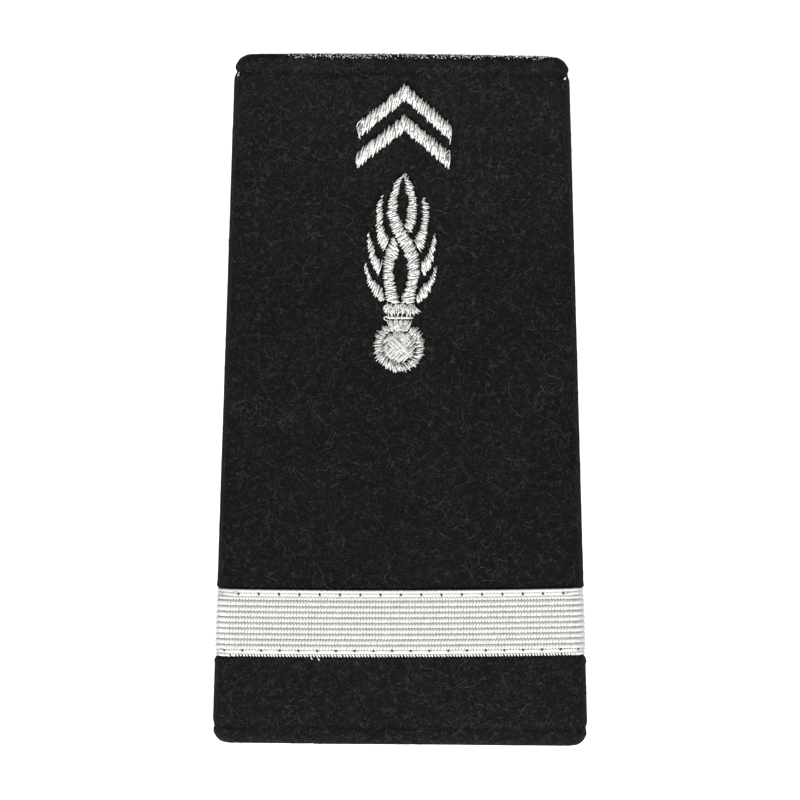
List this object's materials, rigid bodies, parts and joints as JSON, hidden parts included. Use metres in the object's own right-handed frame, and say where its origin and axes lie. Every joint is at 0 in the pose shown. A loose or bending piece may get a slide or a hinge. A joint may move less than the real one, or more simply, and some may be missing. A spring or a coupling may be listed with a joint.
{
  "type": "slip-on shoulder board",
  "caption": "Flat tapered cloth sleeve for a shoulder strap, with a ribbed braid across its wide end and an embroidered flaming grenade under chevrons near its narrow end.",
  "frame": {"origin": "centre of the underside of the back panel, which the sleeve rests on", "axes": "+X across the sleeve to the right, +Y along it towards the narrow end, +Z out of the face"},
  "size_m": [0.0554, 0.1023, 0.0093],
  "materials": {
    "wool": "matt black wool broadcloth with fine grey surface fibres",
    "braid": "ribbed white and silver braid, satin",
    "thread": "silver white embroidery thread, soft sheen"
  },
  "bodies": {
    "root": {"front_panel": "wool", "back_panel": "wool", "braid": "braid", "chevron_upper": "thread", "chevron_lower": "thread", "strand_over": "thread", "strand_under_low": "thread", "strand_under_top": "thread", "flame_left_top": "thread", "flame_left_mid": "thread", "flame_left_low": "thread", "flame_right_top": "thread", "flame_right_mid": "thread", "flame_right_low": "thread", "collar": "thread", "neck_cord": "thread", "neck": "thread", "ball_rim": "thread", "ball_fill": "thread"}
  },
  "joints": []
}
